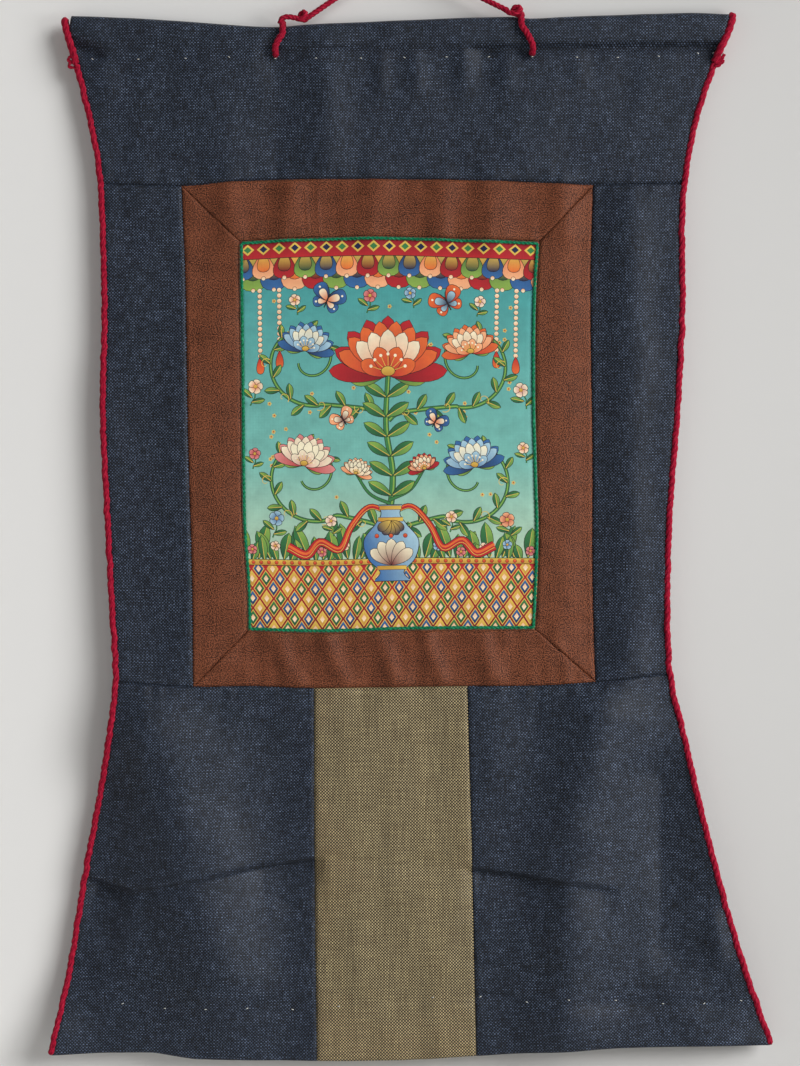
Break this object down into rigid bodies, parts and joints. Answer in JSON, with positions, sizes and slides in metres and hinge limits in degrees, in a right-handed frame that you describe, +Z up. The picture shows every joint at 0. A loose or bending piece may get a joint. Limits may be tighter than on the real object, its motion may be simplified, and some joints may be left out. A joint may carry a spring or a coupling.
{
  "type": "thangka scroll painting",
  "caption": "Painted canvas in a mitred cloth border, pieced into a waisted dark cloth hanging with corded edges, a slat pocket and a hanging cord.",
  "frame": {"origin": "the point where a nail bears under the middle of the hanging cord", "axes": "+X to the right of a viewer facing the painting, +Y into the wall, +Z up"},
  "size_m": [0.5675, 0.0364, 0.862],
  "materials": {
    "dark_cloth": "plain-woven dark blue-grey melange cotton",
    "olive_cloth": "coarse plain-woven olive cotton",
    "brown_cloth": "brown cotton with a short brushed nap",
    "painted_canvas": "cotton canvas with matte mineral paint",
    "green_cord": "green cotton piping",
    "red_cord": "twisted crimson yarn"
  },
  "bodies": {
    "root": {"top_panel": "dark_cloth", "side_panel_left": "dark_cloth", "side_panel_right": "dark_cloth", "lower_panel_left": "dark_cloth", "lower_panel_right": "dark_cloth", "centre_panel": "olive_cloth", "border_top": "brown_cloth", "border_bottom": "brown_cloth", "border_left": "brown_cloth", "border_right": "brown_cloth", "painting": "painted_canvas", "piping": "green_cord", "edge_cord_left": "red_cord", "edge_cord_right": "red_cord", "hanger_loop_left": "red_cord", "hanger_loop_right": "red_cord", "hanging_cord": "red_cord"}
  },
  "joints": []
}
